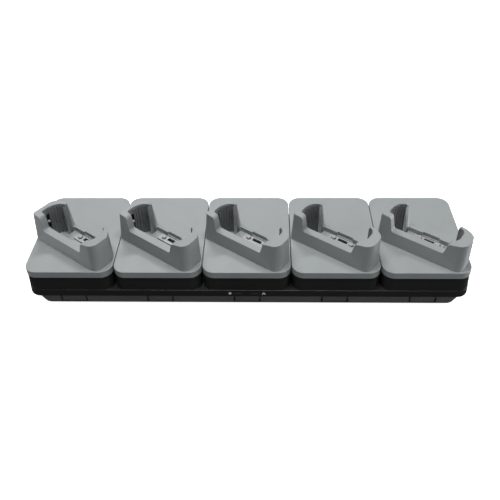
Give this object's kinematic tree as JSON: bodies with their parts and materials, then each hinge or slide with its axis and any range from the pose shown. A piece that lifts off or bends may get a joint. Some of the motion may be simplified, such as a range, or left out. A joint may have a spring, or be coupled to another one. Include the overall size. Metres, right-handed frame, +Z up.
{
  "type": "multi-bay terminal charging cradle",
  "caption": "Charging cradle for handheld payment terminals: a long base with raised pads, each with a grey plate and an angled two-tower pocket, sprung contacts and a latch.",
  "frame": {"origin": "on the table under the middle of the base, midway along the row of cups", "axes": "+X to the right along the row of cups, +Y to the back where the sockets are, +Z up"},
  "size_m": [0.451, 0.1216, 0.0814],
  "materials": {
    "cup_grey": "fine satin moulding texture",
    "liner_grey": "satin ribbed moulding",
    "carrier_grey": "satin",
    "contact_gold": "gold plated",
    "latch_grey": "polished",
    "cover_black": "satin black moulding",
    "tray_grey": "fine matte texture",
    "release_grey": "fine matte texture",
    "board_green": "solder mask",
    "ribbon_grey": "flat cable",
    "socket_black": "moulded",
    "light_clear": "smoky clear moulding",
    "screw_steel": "zinc plated",
    "foot_rubber": "matte"
  },
  "bodies": {
    "base": {"base_top_cover": "cover_black", "base_bottom_tray": "tray_grey", "main_board": "board_green", "power_inlet": "socket_black", "network_jack_1": "socket_black", "network_jack_2": "socket_black", "link_light_pipe": "light_clear", "speed_light_pipe": "light_clear", "rubber_foot_1": "foot_rubber", "base_screw_1": "screw_steel", "rubber_foot_2": "foot_rubber", "base_screw_2": "screw_steel", "rubber_foot_3": "foot_rubber", "base_screw_3": "screw_steel", "rubber_foot_4": "foot_rubber", "base_screw_4": "screw_steel", "cup_shell_1": "cup_grey", "tower_liner_1": "liner_grey", "contact_carrier_1": "carrier_grey", "cup_board_1": "board_green", "cup_cable_1": "ribbon_grey", "cup_shell_2": "cup_grey", "tower_liner_2": "liner_grey", "contact_carrier_2": "carrier_grey", "cup_board_2": "board_green", "cup_cable_2": "ribbon_grey", "cup_shell_3": "cup_grey", "tower_liner_3": "liner_grey", "contact_carrier_3": "carrier_grey", "cup_board_3": "board_green", "cup_cable_3": "ribbon_grey", "cup_shell_4": "cup_grey", "tower_liner_4": "liner_grey", "contact_carrier_4": "carrier_grey", "cup_board_4": "board_green", "cup_cable_4": "ribbon_grey", "cup_shell_5": "cup_grey", "tower_liner_5": "liner_grey", "contact_carrier_5": "carrier_grey", "cup_board_5": "board_green", "cup_cable_5": "ribbon_grey"},
    "contacts_1": {"contact_pins_1": "contact_gold"},
    "latch_1": {"retention_latch_1": "latch_grey"},
    "release_1": {"cup_release_1": "release_grey"},
    "contacts_2": {"contact_pins_2": "contact_gold"},
    "latch_2": {"retention_latch_2": "latch_grey"},
    "release_2": {"cup_release_2": "release_grey"},
    "contacts_3": {"contact_pins_3": "contact_gold"},
    "latch_3": {"retention_latch_3": "latch_grey"},
    "release_3": {"cup_release_3": "release_grey"},
    "contacts_4": {"contact_pins_4": "contact_gold"},
    "latch_4": {"retention_latch_4": "latch_grey"},
    "release_4": {"cup_release_4": "release_grey"},
    "contacts_5": {"contact_pins_5": "contact_gold"},
    "latch_5": {"retention_latch_5": "latch_grey"},
    "release_5": {"cup_release_5": "release_grey"}
  },
  "joints": [
    {"name": "contacts_press_1", "type": "slide", "parent": "base", "child": "contacts_1", "axis": [0, 0, -1], "range_m": [0, 0.0008], "stiffness_N_per_m": 600},
    {"name": "latch_press_1", "type": "slide", "parent": "base", "child": "latch_1", "axis": [-0.8192, 0.5736, 0], "range_m": [0, 0.0012], "stiffness_N_per_m": 800},
    {"name": "release_press_1", "type": "slide", "parent": "base", "child": "release_1", "axis": [0, 1, 0], "range_m": [0, 0.0015], "stiffness_N_per_m": 500},
    {"name": "contacts_press_2", "type": "slide", "parent": "base", "child": "contacts_2", "axis": [0, 0, -1], "range_m": [0, 0.0008], "stiffness_N_per_m": 600},
    {"name": "latch_press_2", "type": "slide", "parent": "base", "child": "latch_2", "axis": [-0.8192, 0.5736, 0], "range_m": [0, 0.0012], "stiffness_N_per_m": 800},
    {"name": "release_press_2", "type": "slide", "parent": "base", "child": "release_2", "axis": [0, 1, 0], "range_m": [0, 0.0015], "stiffness_N_per_m": 500},
    {"name": "contacts_press_3", "type": "slide", "parent": "base", "child": "contacts_3", "axis": [0, 0, -1], "range_m": [0, 0.0008], "stiffness_N_per_m": 600},
    {"name": "latch_press_3", "type": "slide", "parent": "base", "child": "latch_3", "axis": [-0.8192, 0.5736, 0], "range_m": [0, 0.0012], "stiffness_N_per_m": 800},
    {"name": "release_press_3", "type": "slide", "parent": "base", "child": "release_3", "axis": [0, 1, 0], "range_m": [0, 0.0015], "stiffness_N_per_m": 500},
    {"name": "contacts_press_4", "type": "slide", "parent": "base", "child": "contacts_4", "axis": [0, 0, -1], "range_m": [0, 0.0008], "stiffness_N_per_m": 600},
    {"name": "latch_press_4", "type": "slide", "parent": "base", "child": "latch_4", "axis": [-0.8192, 0.5736, 0], "range_m": [0, 0.0012], "stiffness_N_per_m": 800},
    {"name": "release_press_4", "type": "slide", "parent": "base", "child": "release_4", "axis": [0, 1, 0], "range_m": [0, 0.0015], "stiffness_N_per_m": 500},
    {"name": "contacts_press_5", "type": "slide", "parent": "base", "child": "contacts_5", "axis": [0, 0, -1], "range_m": [0, 0.0008], "stiffness_N_per_m": 600},
    {"name": "latch_press_5", "type": "slide", "parent": "base", "child": "latch_5", "axis": [-0.8192, 0.5736, 0], "range_m": [0, 0.0012], "stiffness_N_per_m": 800},
    {"name": "release_press_5", "type": "slide", "parent": "base", "child": "release_5", "axis": [0, 1, 0], "range_m": [0, 0.0015], "stiffness_N_per_m": 500}
  ]
}
